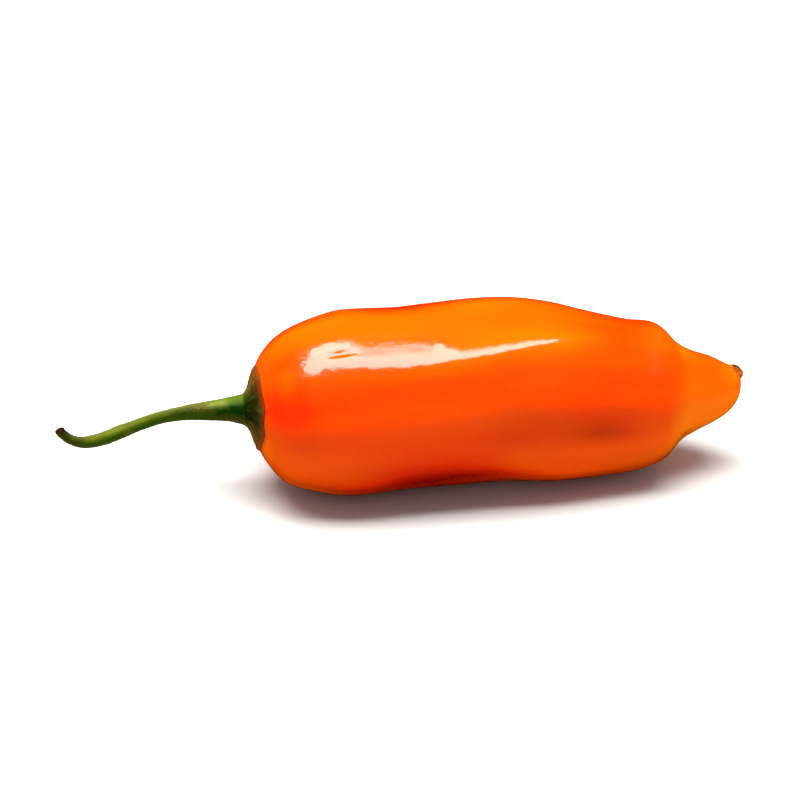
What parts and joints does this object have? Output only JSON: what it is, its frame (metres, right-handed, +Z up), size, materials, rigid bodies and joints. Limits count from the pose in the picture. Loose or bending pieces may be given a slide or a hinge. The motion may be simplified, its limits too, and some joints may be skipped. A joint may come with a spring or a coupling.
{
  "type": "chilli pepper",
  "caption": "Ripe orange chilli pepper pod, whole and lying on its side, with its curved green stalk and toothed cap left on.",
  "frame": {"origin": "centre of the narrow flat spot under the pod that it rests on", "axes": "+X along the pod to its tip, with the stalk on the -X side; +Z up, away from the resting spot; +Y to the back"},
  "size_m": [0.1585, 0.0428, 0.0414],
  "materials": {
    "skin": "taut, waxy and glossy orange fruit skin",
    "stalk": "satin green stalk with corky brown marks and a dark cut end",
    "dry_scar": "dull dried brown plant scar"
  },
  "bodies": {
    "root": {"pod": "skin", "stalk": "stalk", "tip_nib": "dry_scar"}
  },
  "joints": []
}
